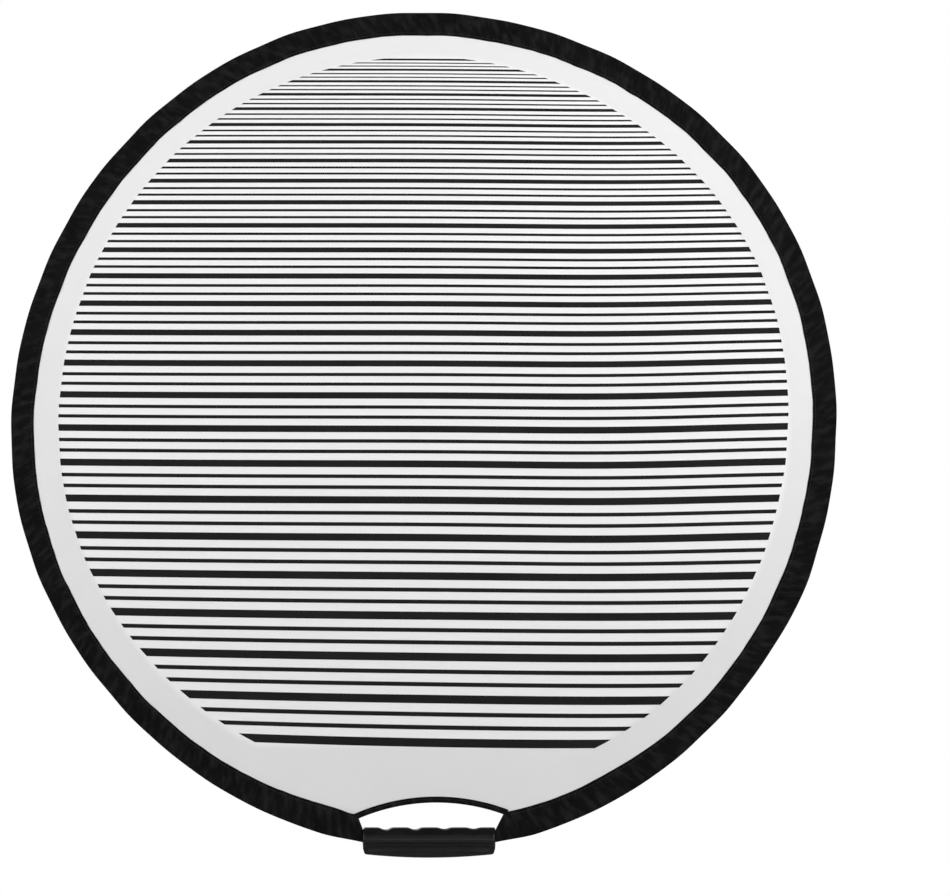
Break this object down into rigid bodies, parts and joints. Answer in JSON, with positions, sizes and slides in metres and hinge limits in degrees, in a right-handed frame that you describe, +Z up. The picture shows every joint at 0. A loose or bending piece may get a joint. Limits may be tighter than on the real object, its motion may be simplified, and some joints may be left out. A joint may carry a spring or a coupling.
{
  "type": "handled collapsible line board disc",
  "caption": "Round spring-hoop cloth disc printed with graduated horizontal lines, in a bound rim, with a moulded hand grip under an arched hand opening.",
  "frame": {"origin": "middle of the hand grip, on the spring band's centre line", "axes": "+Z up from the grip across the disc, +X to the right seen from the printed front, +Y from the printed front to the plain back"},
  "size_m": [0.8, 0.024, 0.816],
  "materials": {
    "printed_cloth": "white woven polyester, slightly satin",
    "line_ink": "black printed ink on cloth",
    "back_cloth": "plain white woven polyester",
    "binding_tape": "matt black woven tape",
    "thread": "black polyester thread",
    "spring_steel": "blued and oiled spring steel",
    "crimped_steel": "zinc-plated steel",
    "moulded_grip": "satin black moulded plastic",
    "screw_steel": "nickel-plated steel"
  },
  "bodies": {
    "held_half": {"front_cloth_lower": "printed_cloth", "printed_lines_lower": "line_ink", "back_cloth_lower": "back_cloth", "rim_binding_lower": "binding_tape", "rim_stitching_lower": "thread", "opening_binding": "binding_tape", "opening_stitching": "thread", "binding_tacks": "thread", "hoop_lower": "spring_steel", "hoop_ferrule": "crimped_steel", "hoop_rivets": "crimped_steel", "grip_front_shell": "moulded_grip", "grip_back_shell": "moulded_grip", "grip_screws": "screw_steel"},
    "bowing_half": {"front_cloth_upper": "printed_cloth", "printed_lines_upper": "line_ink", "back_cloth_upper": "back_cloth", "rim_binding_upper": "binding_tape", "rim_stitching_upper": "thread", "hoop_upper": "spring_steel"}
  },
  "joints": [
    {"name": "bow", "type": "hinge", "parent": "held_half", "child": "bowing_half", "pos_m": [-0.0045, 0, 0.40827], "axis": [1, 0, 0], "range_deg": [-60, 60], "stiffness_Nm_per_rad": 3}
  ]
}
